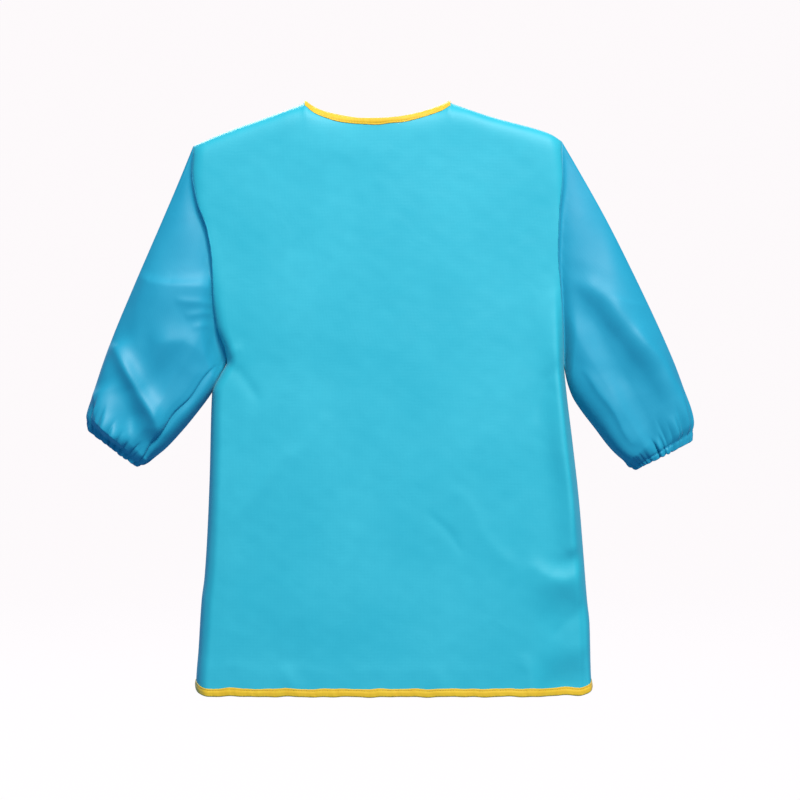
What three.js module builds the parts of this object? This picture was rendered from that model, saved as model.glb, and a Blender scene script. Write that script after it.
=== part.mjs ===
// A child's long-sleeved painting smock in coated cloth, as it hangs from the shoulders.
//
// Frame: +Z up, the front of the smock faces -Y, and the wearer's left is +X. The origin is the
// middle of the neck opening, level with the tops of the shoulders. All sizes are in millimetres.
//
// The smock is a front panel and two back panels sewn at the shoulders and sides, with two set-in
// sleeves. The back panels overlap at the centre back, where two pairs of hook and loop patches
// close them. Each back panel folds open along a line from the neck point to the hem, so it is made
// as a fixed part and a flap. Each sleeve bends below the armhole, so it is made as a cap, which
// stays with the body, and the rest.

import * as THREE from "three";

// Driving dimensions
const CLOTH = 0.6; // thickness of the coated cloth
const AIR = 0.35; // gap between pieces that lie against each other
const SEAM_GAP = 0.5; // half of the gap between front and back where they are sewn together

const HEM_Z = -596;
const HEM_CORNER = { share: 0.07, rise: 9 }; // the hem curves up over this outer share
const NECK = { pointZ: -1, frontDrop: 17.5, backDrop: 15.5, flatness: 2.4, depth: 14 };
const NECK_SHARE = 0.39; // where the neck point lies, as a share of the half width of the body
const BODY_DEPTH = { top: 14, hem: 36, crown: 0.2 }; // from the middle plane to the front or back
const EDGE_ROUND_FROM = 0.8; // the front and back turn towards the side seams beyond this share
const SHOULDER_ROLL = 10; // how fast the cloth falls away from the shoulder seams

const BINDING = { wall: 0.6, slot: 1.7 }; // a folded strip, open towards the cloth in its slot
const LEG = { neck: 5.6, edge: 7.2 }; // how far a strip reaches over the cloth
const OVERLAP_HALF = 18; // the back edges lie this far past the centre line
const OUTER_FLAP_LIFT = 3.6; // the right flap lies over the left one
const HEM_SHIFT = 16.5; // the body hangs this far towards the wearer's left at the hem
const FOLD_LINE = { top: 72, hem: 118, gap: 0.6 }; // distance from the centre line, and half gap

const PATCH = { width: 17, height: 30, thickness: 1 };
const PATCH_CENTRES = { neck: -42, back: -215 };

const ARMHOLE = { depth: 17, roundness: 0.7, gap: 1.2 };
const SLEEVE_FOLD = 0.3; // where along the sleeve the moving part starts
const CUFF = { casing: 0.955, elastic: [0.964, 0.99], elasticThickness: 1 };
const LABEL = { width: 25, height: 38, thickness: 0.4, z: -470, fromSeam: 3 };

// Each side as it hangs: the body's edge as [z, x], which is the armhole seam down to the underarm
// and the side seam below it, and the sleeve's outer and inner edges as [x, z], armhole to cuff.
const SIDES = {
  right: {
    sign: -1,
    tipZ: -46,
    underarmZ: -262,
    edge: [
      [0, -185], [-46, -185], [-90, -180], [-140, -169], [-200, -163], [-240, -157], [-262, -149],
      [-276, -156], [-300, -165.5], [-380, -168.5], [-476, -173.5], [-560, -180.5], [HEM_Z, -182],
    ],
    outer: [[-185.5, -46.5], [-208, -99], [-242, -180], [-274, -260], [-289, -310], [-288, -331]],
    inner: [[-150, -263], [-171, -297], [-196, -330], [-223, -356], [-242, -365.5]],
  },
  left: {
    sign: 1,
    tipZ: -41,
    underarmZ: -266,
    edge: [
      [0, 185], [-41, 185], [-85, 184], [-150, 180], [-215, 184], [-266, 189.5], [-300, 191.5],
      [-370, 197.5], [-452, 205.5], [-548, 212.5], [HEM_Z, 215],
    ],
    outer: [[185.5, -41.5], [218, -99], [259, -180], [296, -260], [311, -305], [314, -341]],
    inner: [[190.5, -267], [199, -303], [217, -330], [240, -356], [259, -368]],
  },
};

// Grid lines of the panels. Bindings use the same lines, so that the cloth stays inside them.
const ROWS = [
  0, 0.014, 0.1, 0.21, 0.32, 0.43, 0.52, 0.57, 0.602, 0.65,
  0.72, 0.79, 0.86, 0.92, 0.957, 0.98, 0.987, 0.9933, 1,
];
const EDGE_COLUMNS = [0.8, 0.9, 0.973, 1];
const NECK_COLUMNS = [0, 0.3, 0.56, 0.78, 0.95].map((share) => share * NECK_SHARE);
const HALF_COLUMNS = [...NECK_COLUMNS, NECK_SHARE, 0.52, 0.66, ...EDGE_COLUMNS];
const FLAP_COLUMNS = [0, 0.06, 0.18, 0.32, 0.5, 0.75, 1];
const AROUND = 16; // facets round a sleeve
const SLEEVE_ROWS = [0.4, 0.52, 0.64, 0.75, 0.84, 0.91, CUFF.casing, ...CUFF.elastic, 1];

const FINISH = {
  cloth: { color: 0x47c1e0, roughness: 0.45, metalness: 0 },
  binding: { color: 0xebbd3c, roughness: 0.6, metalness: 0 },
  elastic: { color: 0xf2f2ee, roughness: 0.9, metalness: 0 },
  patch: { color: 0x3fb4d6, roughness: 0.95, metalness: 0 },
  label: { color: 0xffffff, roughness: 0.7, metalness: 0 },
};

const smock = new THREE.Group();

// ---- small tools ----

const clamp = THREE.MathUtils.clamp;
const lerp = THREE.MathUtils.lerp;

// A smooth line through [position, value] stations, which never overshoots them.
function smoothThrough(stations) {
  const points = [...stations].sort((a, b) => a[0] - b[0]);
  const slopes = points.slice(1).map((p, i) => (p[1] - points[i][1]) / (p[0] - points[i][0]));
  const tangents = points.map((_, i) => {
    const before = slopes[Math.max(0, i - 1)];
    const after = slopes[Math.min(slopes.length - 1, i)];
    return before * after <= 0 ? 0 : (2 * before * after) / (before + after);
  });
  return (position) => {
    const at = clamp(position, points[0][0], points.at(-1)[0]);
    const i = Math.max(0, points.findIndex((p) => p[0] >= at) - 1);
    const [p0, p1] = [points[i], points[i + 1]];
    const span = p1[0] - p0[0];
    const t = (at - p0[0]) / span;
    const start = (1 + 2 * t) * (1 - t) ** 2 * p0[1] + t * (1 - t) ** 2 * span * tangents[i];
    return start + t * t * (3 - 2 * t) * p1[1] + t * t * (t - 1) * span * tangents[i + 1];
  };
}

// The value at a fraction of the way along a list of grid lines.
function along(lines, fraction) {
  const at = clamp(fraction, 0, 1) * (lines.length - 1);
  const i = Math.min(Math.floor(at + 1e-6), lines.length - 2);
  return lerp(lines[i], lines[i + 1], at - i);
}

// Moves each vertex of a geometry, and turns its faces round if that left them pointing inwards.
function shaped(geometry, place) {
  const flat = geometry.index ? geometry.toNonIndexed() : geometry;
  const position = flat.getAttribute("position");
  for (let i = 0; i < position.count; i++) {
    const moved = place(position.getX(i), position.getY(i), position.getZ(i));
    position.setXYZ(i, moved.x, moved.y, moved.z);
  }
  const [a, b, c] = [new THREE.Vector3(), new THREE.Vector3(), new THREE.Vector3()];
  let volume = 0;
  for (let i = 0; i < position.count; i += 3) {
    a.fromBufferAttribute(position, i);
    b.fromBufferAttribute(position, i + 1);
    c.fromBufferAttribute(position, i + 2);
    volume += a.dot(b.cross(c));
  }
  if (volume < 0) {
    for (let i = 0; i < position.count; i += 3) {
      b.fromBufferAttribute(position, i + 1);
      c.fromBufferAttribute(position, i + 2);
      position.setXYZ(i + 1, c.x, c.y, c.z);
      position.setXYZ(i + 2, b.x, b.y, b.z);
    }
  }
  flat.deleteAttribute("uv");
  flat.computeVertexNormals();
  return flat;
}

function add(name, geometry, finish) {
  const mesh = new THREE.Mesh(geometry, new THREE.MeshStandardMaterial(FINISH[finish]));
  mesh.name = name;
  smock.add(mesh);
}

// ---- the body's surface ----
// u runs from the wearer's right (-1) to the left (1), and v from the hem (0) to the top edge (1).

const bodyEdge = { right: smoothThrough(SIDES.right.edge), left: smoothThrough(SIDES.left.edge) };
const sideAt = (u) => (u < 0 ? SIDES.right : SIDES.left);
const bodyMiddle = (z) => (bodyEdge.left(z) + bodyEdge.right(z)) / 2;
const bodyHalf = (z) => (bodyEdge.left(z) - bodyEdge.right(z)) / 2;

function hemLine(u) {
  const into = clamp((Math.abs(u) - 1 + HEM_CORNER.share) / HEM_CORNER.share, 0, 1);
  return HEM_Z + HEM_CORNER.rise * (1 - Math.sqrt(1 - into * into));
}

function topLine(face, u) {
  const share = Math.abs(u);
  if (share < NECK_SHARE) {
    const drop = face < 0 ? NECK.frontDrop : NECK.backDrop;
    return NECK.pointZ - drop * (1 - (share / NECK_SHARE) ** NECK.flatness);
  }
  return lerp(NECK.pointZ, sideAt(u).tipZ, (share - NECK_SHARE) / (1 - NECK_SHARE));
}

function armholeDepth(side, z) {
  const down = clamp((side.tipZ - z) / (side.tipZ - side.underarmZ), 0, 1);
  return ARMHOLE.depth * Math.sin(Math.PI * down) ** ARMHOLE.roundness;
}

// How far the front or the back stands from the middle plane.
function bodyDepth(u, z, top) {
  const share = Math.min(Math.abs(u), 1);
  const crown = 1 - BODY_DEPTH.crown * share * share;
  const full = lerp(BODY_DEPTH.top, BODY_DEPTH.hem, z / HEM_Z) * crown;
  const into = Math.max(0, (share - EDGE_ROUND_FROM) / (1 - EDGE_ROUND_FROM));
  const edge = armholeDepth(sideAt(u), z);
  const panel = edge + (full - edge) * Math.sqrt(1 - into * into);
  const acrossNeck = Math.min(share / NECK_SHARE, 1);
  const neck = acrossNeck < 1 ? NECK.depth * Math.cos((Math.PI / 2) * acrossNeck) ** 0.8 : 0;
  const below = Math.max(0, top - z);
  const roll = lerp(1, 0.5, THREE.MathUtils.smoothstep(share / NECK_SHARE, 0.9, 1.3));
  return neck + (panel - neck) * (1 - Math.exp(-below / SHOULDER_ROLL)) ** roll;
}

function bodyPoint(face, u, v) {
  const top = topLine(face, u);
  const z = lerp(hemLine(u), top, v);
  const x = bodyMiddle(z) + u * bodyHalf(z);
  return new THREE.Vector3(x, face * (SEAM_GAP + bodyDepth(u, z, top)), z);
}

// The body's surface raised along its outward normal.
function bodySurface(face) {
  const step = 1e-3;
  return (u, v, lift) => {
    const across = bodyPoint(face, Math.min(u + step, 1), v);
    across.sub(bodyPoint(face, Math.max(u - step, -1), v));
    const up = bodyPoint(face, u, Math.min(v + step, 1));
    up.sub(bodyPoint(face, u, Math.max(v - step, 0)));
    const normal = across.cross(up).multiplyScalar(-face).normalize();
    return bodyPoint(face, u, v).addScaledVector(normal, lift);
  };
}

const FRONT = -1;
const BACK = 1;

// Where a line at distance x from the centre line lies on the body, at height v.
function columnAt(v, x, sign = 1) {
  const z = lerp(HEM_Z, NECK.pointZ, v);
  const centre = HEM_SHIFT * (z / HEM_Z);
  return (centre + sign * x - bodyMiddle(z)) / bodyHalf(z);
}

const foldColumn = (v, sign, gap) => columnAt(v, lerp(FOLD_LINE.hem, FOLD_LINE.top, v) + gap, sign);
const flapEdgeColumn = (v, sign) => columnAt(v, -OVERLAP_HALF, sign);

// The right flap rises over the left one towards the centre back.
function flapLift(side, u) {
  return side.sign < 0 ? OUTER_FLAP_LIFT * THREE.MathUtils.smoothstep(u, -0.34, -0.13) : 0;
}

// A layer of cloth between two grid directions; at(column, row, lift) places it.
function layer(columns, rows, thickness, at) {
  const box = new THREE.BoxGeometry(1, 1, 1, columns.length - 1, rows.length - 1, 1);
  return shaped(box, (x, y, z) => at(along(columns, x + 0.5), along(rows, y + 0.5), z * thickness));
}

// ---- panels ----

function addFrontPanel() {
  const columns = [...HALF_COLUMNS.slice(1).map((u) => -u).reverse(), ...HALF_COLUMNS];
  add("front_panel", layer(columns, ROWS, CLOTH, bodySurface(FRONT)), "cloth");
}

// A fixed back part runs from the fold line to the side seam.
function fixedColumn(side, column, v) {
  const fold = foldColumn(v, side.sign, FOLD_LINE.gap) * side.sign;
  const lines = [fold, (fold + EDGE_COLUMNS[0]) / 2, ...EDGE_COLUMNS];
  return side.sign * along(lines, column);
}

const FIXED_COLUMNS = [0, 0.2, 0.4, 0.6, 0.8, 1];

function addFixedBack(side, name) {
  const back = bodySurface(BACK);
  const at = (column, v, lift) => back(fixedColumn(side, column, v), v, lift);
  add(`back_panel_${name}`, layer(FIXED_COLUMNS, ROWS, CLOTH, at), "cloth");
}

function flapColumn(side, column, v) {
  const fold = foldColumn(v, side.sign, -FOLD_LINE.gap);
  return lerp(fold, flapEdgeColumn(v, side.sign), column);
}

function flapSurface(side) {
  const back = bodySurface(BACK);
  return (column, v, lift) => {
    const u = flapColumn(side, column, v);
    return back(u, v, lift + flapLift(side, u));
  };
}

function addFlap(side, name) {
  add(`back_flap_${name}`, layer(FLAP_COLUMNS, ROWS, CLOTH, flapSurface(side)), "cloth");
}

// ---- bindings: a folded strip, open towards the cloth ----

function bindingSection(leg) {
  const half = BINDING.slot / 2 + BINDING.wall;
  const inner = BINDING.slot / 2;
  const closed = AIR + BINDING.wall;
  const section = new THREE.Shape();
  section.moveTo(-leg, -half);
  section.lineTo(-leg / 2, -half);
  section.lineTo(0, -half);
  section.lineTo(closed, -half);
  section.lineTo(closed, half);
  section.lineTo(0, half);
  section.lineTo(-leg / 2, half);
  section.lineTo(-leg, half);
  section.lineTo(-leg, inner);
  section.lineTo(-leg / 2, inner);
  section.lineTo(AIR, inner);
  section.lineTo(AIR, -inner);
  section.lineTo(-leg / 2, -inner);
  section.lineTo(-leg, -inner);
  return section;
}

// at(line, inset, lift) gives the point that far in from the cloth's edge. Past the edge the strip
// runs straight on.
function binding(lines, leg, at) {
  const options = { steps: lines.length - 1, depth: 1, bevelEnabled: false };
  const strip = new THREE.ExtrudeGeometry(bindingSection(leg), options);
  return shaped(strip, (across, lift, fraction) => {
    const line = along(lines, fraction);
    if (across <= 0) return at(line, -across, lift);
    const edge = at(line, 0, lift);
    const outwards = edge.clone().sub(at(line, 1, lift)).normalize();
    return edge.addScaledVector(outwards, across);
  });
}

const bodyHeight = (face, u) => topLine(face, u) - hemLine(u);

function addFrontBindings() {
  const front = bodySurface(FRONT);
  const neck = [...NECK_COLUMNS.slice(1).map((u) => -u).reverse(), ...NECK_COLUMNS];
  const neckAt = (u, inset, lift) => front(u, 1 - inset / bodyHeight(FRONT, u), lift);
  add("neck_binding_front", binding(neck, LEG.neck, neckAt), "binding");
  const hem = [...HALF_COLUMNS.slice(1).map((u) => -u).reverse(), ...HALF_COLUMNS];
  const hemAt = (u, inset, lift) => front(u, inset / bodyHeight(FRONT, u), lift);
  add("hem_binding_front", binding(hem, LEG.edge, hemAt), "binding");
}

function addFixedBackBinding(side, name) {
  const back = bodySurface(BACK);
  const at = (column, inset, lift) => {
    const v = inset / bodyHeight(BACK, fixedColumn(side, column, 0));
    return back(fixedColumn(side, column, v), v, lift);
  };
  add(`hem_binding_back_${name}`, binding(FIXED_COLUMNS, LEG.edge, at), "binding");
}

function addFlapBindings(side, name) {
  const flap = flapSurface(side);
  const height = NECK.pointZ - HEM_Z;
  const clear = LEG.edge + AIR + BINDING.wall;

  const neckAt = (column, inset, lift) => flap(column, 1 - inset / height, lift);
  add(`neck_binding_back_${name}`, binding(FLAP_COLUMNS.slice(1), LEG.neck, neckAt), "binding");

  const hemWidth = FOLD_LINE.hem + OVERLAP_HALF;
  const hemEnd = 1 - clear / hemWidth;
  const hemColumns = [...FLAP_COLUMNS.filter((column) => column < hemEnd), hemEnd];
  const hemAt = (column, inset, lift) => flap(column, inset / height, lift);
  add(`hem_binding_flap_${name}`, binding(hemColumns, LEG.edge, hemAt), "binding");

  const edgeRows = [...ROWS.filter((v) => v < 1 - clear / height), 1 - (clear + AIR) / height];
  const edgeAt = (v, inset, lift) => {
    const width = lerp(FOLD_LINE.hem, FOLD_LINE.top, v) + OVERLAP_HALF;
    return flap(1 - inset / width, v, lift);
  };
  add(`back_edge_binding_${name}`, binding(edgeRows, LEG.edge, edgeAt), "binding");
}

// ---- hook and loop patches ----
// The loops are on the outside of the left flap, and the hooks on the inside of the right one.

function addPatch(name, centreZ, side, lift) {
  const back = bodySurface(BACK);
  const middle = (centreZ - HEM_Z) / (NECK.pointZ - HEM_Z);
  const reach = PATCH.height / 2 / (NECK.pointZ - HEM_Z);
  const rows = [middle - reach, middle, middle + reach];
  const at = (x, v, through) => {
    const u = columnAt(v, x);
    return back(u, v, lift + flapLift(side, u) + through);
  };
  add(name, layer([-PATCH.width / 2, 0, PATCH.width / 2], rows, PATCH.thickness, at), "patch");
}

function addPatches() {
  const clear = CLOTH / 2 + AIR + PATCH.thickness / 2;
  for (const [place, z] of Object.entries(PATCH_CENTRES)) {
    addPatch(`loop_patch_${place}`, z, SIDES.left, clear);
    addPatch(`hook_patch_${place}`, z, SIDES.right, -clear);
  }
}

// ---- sleeves ----
// share runs from the armhole (0) to the cuff (1), and angle from the outer edge round the front.

const SLEEVE_DEPTH = [[0, ARMHOLE.depth], [0.25, 18], [0.55, 20], [0.82, 18.5], [0.93, 15], [1, 12.5]];

const upright = ([x, z]) => new THREE.Vector3(x, 0, z);

function sleeveSurface(side, name) {
  const outer = new THREE.CatmullRomCurve3(side.outer.map(upright), false, "centripetal");
  const inner = new THREE.CatmullRomCurve3(side.inner.map(upright), false, "centripetal");
  const depth = smoothThrough(SLEEVE_DEPTH);

  const point = (share, angle) => {
    const inwards = (1 - Math.cos(angle)) / 2;
    const place = outer.getPointAt(share).lerp(inner.getPointAt(share), inwards);
    const z = lerp(side.tipZ, side.underarmZ, inwards);
    const chord = lerp(side.outer[0][0], side.inner[0][0], inwards);
    place.x += (bodyEdge[name](z) - chord) * (1 - share) ** 3;
    place.x += side.sign * ARMHOLE.gap * (1 - share);
    const bulge = Math.sin(Math.PI * inwards) ** ARMHOLE.roundness;
    place.y = -Math.sign(Math.sin(angle)) * depth(share) * bulge;
    return place;
  };

  const step = 1e-3;
  return (share, angle, lift) => {
    const here = point(share, angle);
    const down = point(Math.min(share + step, 1), angle).sub(point(Math.max(share - step, 0), angle));
    const round = point(share, angle + 0.05).sub(point(share, angle - 0.05));
    const normal = down.cross(round).normalize();
    const middle = point(share, 0).add(point(share, Math.PI)).multiplyScalar(0.5);
    if (normal.dot(here.clone().sub(middle)) < 0) normal.negate();
    return here.addScaledVector(normal, lift);
  };
}

// A tube of cloth between the given places along a sleeve.
function tube(surface, rows, thickness, lift = 0) {
  const up = rows.map((_, i) => new THREE.Vector2(2, i / (rows.length - 1)));
  const down = [...up].reverse().map((p) => new THREE.Vector2(1, p.y));
  const ring = new THREE.LatheGeometry([...up, ...down, up[0]], AROUND);
  return shaped(ring, (x, y, z) => {
    const through = (Math.hypot(x, z) - 1.5) * thickness;
    return surface(along(rows, y), Math.atan2(x, z), lift + through);
  });
}

function addSleeve(side, name) {
  const surface = sleeveSurface(side, name);
  add(`sleeve_cap_${name}`, tube(surface, [0, 0.08, 0.18, SLEEVE_FOLD], CLOTH), "cloth");
  add(`sleeve_${name}`, tube(surface, [SLEEVE_FOLD + 0.004, ...SLEEVE_ROWS], CLOTH), "cloth");

  const elasticLift = -(CLOTH / 2 + AIR + CUFF.elasticThickness / 2);
  const casingLift = elasticLift - (CUFF.elasticThickness / 2 + AIR + CLOTH / 2);
  const elastic = tube(surface, CUFF.elastic, CUFF.elasticThickness, elasticLift);
  add(`cuff_elastic_${name}`, elastic, "elastic");
  const casing = tube(surface, [CUFF.casing, ...CUFF.elastic, 1], CLOTH, casingLift);
  add(`cuff_casing_${name}`, casing, "cloth");
}

// ---- the care label hangs inside from the left side seam ----

function addCareLabel() {
  const label = new THREE.BoxGeometry(LABEL.width, LABEL.thickness, LABEL.height);
  const seam = bodyEdge.left(LABEL.z);
  label.translate(seam - LABEL.fromSeam - LABEL.width / 2, 0, LABEL.z);
  add("care_label", label, "label");
}

addFrontPanel();
addFrontBindings();
for (const [name, side] of Object.entries(SIDES)) {
  addFixedBack(side, name);
  addFixedBackBinding(side, name);
  addFlap(side, name);
  addFlapBindings(side, name);
  addSleeve(side, name);
}
addPatches();
addCareLabel();

export default smock;
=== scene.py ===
"""A child's painting smock in coated cloth, hanging straight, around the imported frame.

Lengths are in millimetres until a mesh is made. The frame is the CAD's: +Z up, the front faces -Y, and the
wearer's left is +X. The cloth follows the same outlines as the CAD solids that it replaces.
"""

import math

import bmesh
import bpy
import numpy as np
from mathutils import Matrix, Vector


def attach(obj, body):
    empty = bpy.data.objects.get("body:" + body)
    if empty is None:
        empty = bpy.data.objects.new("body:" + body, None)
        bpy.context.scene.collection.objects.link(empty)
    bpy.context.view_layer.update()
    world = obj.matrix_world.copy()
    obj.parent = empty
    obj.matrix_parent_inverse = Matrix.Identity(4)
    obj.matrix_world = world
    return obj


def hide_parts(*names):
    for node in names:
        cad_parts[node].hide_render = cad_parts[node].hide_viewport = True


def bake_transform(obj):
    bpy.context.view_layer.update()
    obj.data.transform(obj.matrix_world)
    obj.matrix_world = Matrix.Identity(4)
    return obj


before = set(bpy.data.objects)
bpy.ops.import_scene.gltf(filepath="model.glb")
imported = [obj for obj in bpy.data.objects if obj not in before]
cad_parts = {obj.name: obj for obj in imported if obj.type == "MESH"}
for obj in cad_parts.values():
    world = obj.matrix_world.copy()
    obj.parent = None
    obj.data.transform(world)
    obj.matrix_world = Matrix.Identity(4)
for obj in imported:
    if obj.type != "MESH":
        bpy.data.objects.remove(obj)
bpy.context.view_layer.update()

MM = 0.001
scene = bpy.context.scene

# ------------------------------------------------------------
# Outlines, as in the CAD
# ------------------------------------------------------------

HEM_Z = -596.0
HEM_CORNER_SHARE, HEM_CORNER_RISE = 0.075, 8.0
NECK_HALF, NECK_POINT_Z, NECK_DEPTH = 72.5, -1.0, 14.0
NECK_FRONT_DROP, NECK_BACK_DROP = 17.5, 15.5
SHOULDER_RIGHT, SHOULDER_LEFT = 184.0, 187.0  # how far each shoulder tip is from the centre line
NECK_SHARE = NECK_HALF / ((SHOULDER_RIGHT + SHOULDER_LEFT) / 2)
BODY_HALF = 185.0  # half of the body's width, where a rough one is enough
DEPTH_TOP, DEPTH_HEM, DEPTH_CROWN = 14.0, 36.0, 0.2
EDGE_ROUND_FROM, SHOULDER_ROLL = 0.93, 6.0
OVERLAP_HALF, OUTER_FLAP_LIFT = 18.0, 3.6
HEM_SHIFT = 16.5
FOLD_TOP, FOLD_HEM = 72.0, 118.0
FOLD_TOP_Y, FOLD_HEM_Y = 17.1, 36.9
FOLD_BEND_HALF = 9.0
ARMHOLE_DEPTH, ARMHOLE_ROUNDNESS = 17.0, 0.7
SEAM_GROOVE, SEAM_GROOVE_WIDTH = 1.1, 2.2
CLOTH = 0.36

SIDES = {
    "right": {
        "sign": -1,
        "tip": -45.0,
        "underarm": -262.0,
        "edge": [
            (0, -184.0), (-45, -184.0), (-68, -184.5), (-99, -179.5), (-129, -169.0), (-160, -164.0),
            (-200, -162.5), (-225, -160.0), (-252, -151.5), (-262, -150.0), (-275, -156.5), (-293, -165.0),
            (-381, -167.5), (-430, -169.5), (-478, -172.5), (-502, -175.5), (-550, -178.5), (-587, -181.0),
            (HEM_Z, -181.0),
        ],
        "shoulder": [(72, -1.0), (110, -15.5), (143, -27.5), (163, -35.5), (184, -45.0)],
        "outer": [
            (-184.0, -45.0), (-197.6, -78.5), (-214.8, -119), (-241, -179.5), (-266.2, -240),
            (-280.3, -280.3), (-288.5, -310.5), (-290.0, -321), (-288.6, -331),
        ],
        "inner": [
            (-150.0, -262.5), (-157.5, -278), (-166.0, -294), (-180, -313), (-194.6, -330.8), (-213.8, -351),
            (-228, -361), (-241.5, -366.5),
        ],
    },
    "left": {
        "sign": 1,
        "tip": -40.0,
        "underarm": -266.0,
        "edge": [
            (0, 187.0), (-40, 187.0), (-74, 187.5), (-110, 184.0), (-152, 182.5), (-190, 185.5),
            (-230, 188.0), (-270, 189.6), (-295, 192.0), (-341, 197.6), (-405, 204.7), (-454, 208.7),
            (-502, 212.5), (-526, 215.0), (-575, 216.3), (HEM_Z, 217.8),
        ],
        "shoulder": [(72, -1.0), (117, -16.0), (162, -28.0), (176, -33.0), (187, -40.0)],
        "outer": [
            (187.0, -40.0), (203.7, -68.6), (231.9, -119), (262.2, -179.5), (290.4, -240),
            (306.6, -280.3), (315.6, -310.6), (318.4, -326), (317.8, -341),
        ],
        "inner": [
            (189.6, -266.5), (193.0, -283), (198.5, -298), (207.5, -312), (219.8, -328), (236, -349),
            (249, -361), (263.2, -369),
        ],
    },
}


def smooth_through(stations):
    """A smooth line through (position, value) stations that never overshoots them."""
    points = sorted(stations)
    p = np.array([a for a, _ in points], float)
    q = np.array([b for _, b in points], float)
    slope = np.diff(q) / np.diff(p)
    before, after = np.r_[slope[0], slope], np.r_[slope, slope[-1]]
    both = before * after
    tangent = np.where(both > 0, 2 * both / np.where(both > 0, before + after, 1), 0)

    def at(x):
        x = np.clip(x, p[0], p[-1])
        i = np.clip(np.searchsorted(p, x, side="left") - 1, 0, len(p) - 2)
        h = p[i + 1] - p[i]
        k = (x - p[i]) / h
        start = (1 + 2 * k) * (1 - k) ** 2 * q[i] + k * (1 - k) ** 2 * h * tangent[i]
        return start + k * k * (3 - 2 * k) * q[i + 1] + k * k * (k - 1) * h * tangent[i + 1]

    return at


def smoothstep(x, low, high):
    t = np.clip((x - low) / (high - low), 0, 1)
    return t * t * (3 - 2 * t)


def lerp(a, b, t):
    return a + (b - a) * t


edge_of = {name: smooth_through(side["edge"]) for name, side in SIDES.items()}
shoulder_of = {name: smooth_through(side["shoulder"]) for name, side in SIDES.items()}


def body_middle(z):
    return (edge_of["left"](z) + edge_of["right"](z)) / 2


def body_half(z):
    return (edge_of["left"](z) - edge_of["right"](z)) / 2


def hem_line(u):
    """Height of the hem: rounded up at its corners, and not quite straight between them."""
    into = np.clip((np.abs(u) - 1 + HEM_CORNER_SHARE) / HEM_CORNER_SHARE, 0, 1)
    wander = 0.3 * np.sin(23 * u + 1) + 0.22 * np.sin(41 * u + 4) + 0.15 * np.sin(67 * u)
    return HEM_Z + 0.6 + wander * (1 - into) + HEM_CORNER_RISE * (1 - np.sqrt(1 - into**2))


def top_line(face, u):
    """Height of the top edge: the neck opening, then the shoulder seam, which the back meets from below."""
    share = np.abs(u)
    across = np.clip(u / NECK_SHARE, -1, 1)
    drop = NECK_FRONT_DROP if face < 0 else NECK_BACK_DROP
    bowl = 1 - np.abs(across + 0.1 * (1 - across**2)) ** 2.4
    neck = NECK_POINT_Z + 1.5 * np.abs(across) ** 16 - drop * bowl
    reach = np.where(u < 0, SHOULDER_RIGHT - NECK_HALF, SHOULDER_LEFT - NECK_HALF)
    x = NECK_HALF + (share - NECK_SHARE) / (1 - NECK_SHARE) * reach
    shoulder = np.where(u < 0, shoulder_of["right"](x), shoulder_of["left"](x))
    seam = 0.0 if face < 0 else 0.6 * smoothstep(share, NECK_SHARE, NECK_SHARE + 0.03)
    return np.where(share < NECK_SHARE, neck, shoulder) - seam


def armhole_depth(side, z):
    """How far the armhole's edge stands from the middle plane at a height."""
    down = np.clip((side["tip"] - z) / (side["tip"] - side["underarm"]), 0, 1)
    return ARMHOLE_DEPTH * np.sin(np.pi * down) ** ARMHOLE_ROUNDNESS


# ------------------------------------------------------------
# Folds. Each one is a height, in millimetres, over the x-z plane of the hanging smock
# ------------------------------------------------------------


def ridge(x, z, points, height, above, below, fade=14.0):
    """A rounded ridge along a line of points. above and below are its widths on its upper and lower sides."""
    best = np.full(np.broadcast(x, z).shape, 1e9)
    side = np.zeros_like(best)
    for (x0, z0), (x1, z1) in zip(points, points[1:]):
        dx, dz = x1 - x0, z1 - z0
        length = math.hypot(dx, dz)
        t = np.clip(((x - x0) * dx + (z - z0) * dz) / length**2, 0, 1)
        gap = np.hypot(x - x0 - t * dx, z - z0 - t * dz)
        across = ((z - z0) * dx - (x - x0) * dz) / length * (1 if dx >= 0 else -1)
        side = np.where(gap < best, across, side)
        best = np.minimum(best, gap)
    width = lerp(below, above, smoothstep(side / np.maximum(best, 0.2), -1, 1))
    (xa, za), (xb, zb) = points[0], points[-1]
    span = math.hypot(xb - xa, zb - za)
    along = ((x - xa) * (xb - xa) + (z - za) * (zb - za)) / span
    ends = smoothstep(along, -fade, fade) * (1 - smoothstep(along, span - fade, span + fade))
    return height * np.exp(-(((best / width) ** 2 + 0.03) ** 0.8)) * ends


def puff(x, z, centre, height, wide, tall):
    return height * np.exp(-(((x - centre[0]) / wide) ** 2) - ((z - centre[1]) / tall) ** 2)


def waves(x, z, amplitude, length, count, seed):
    """Soft irregular waves of about the given wave length."""
    r = np.random.default_rng(seed)
    total = 0
    for _ in range(count):
        angle, phase = r.uniform(0, np.pi), r.uniform(0, 2 * np.pi)
        k = 2 * np.pi / (length * r.uniform(0.7, 1.5))
        total = total + np.sin(k * (x * np.cos(angle) + z * np.sin(angle)) + phase)
    return amplitude * total / math.sqrt(count)


def warp(x, z, amount, length, seed):
    """Bends the plane a little, so that designed folds wander as cloth does."""
    return x + waves(x, z, amount, length, 4, seed), z + waves(x, z, amount, length, 4, seed + 1)


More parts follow.
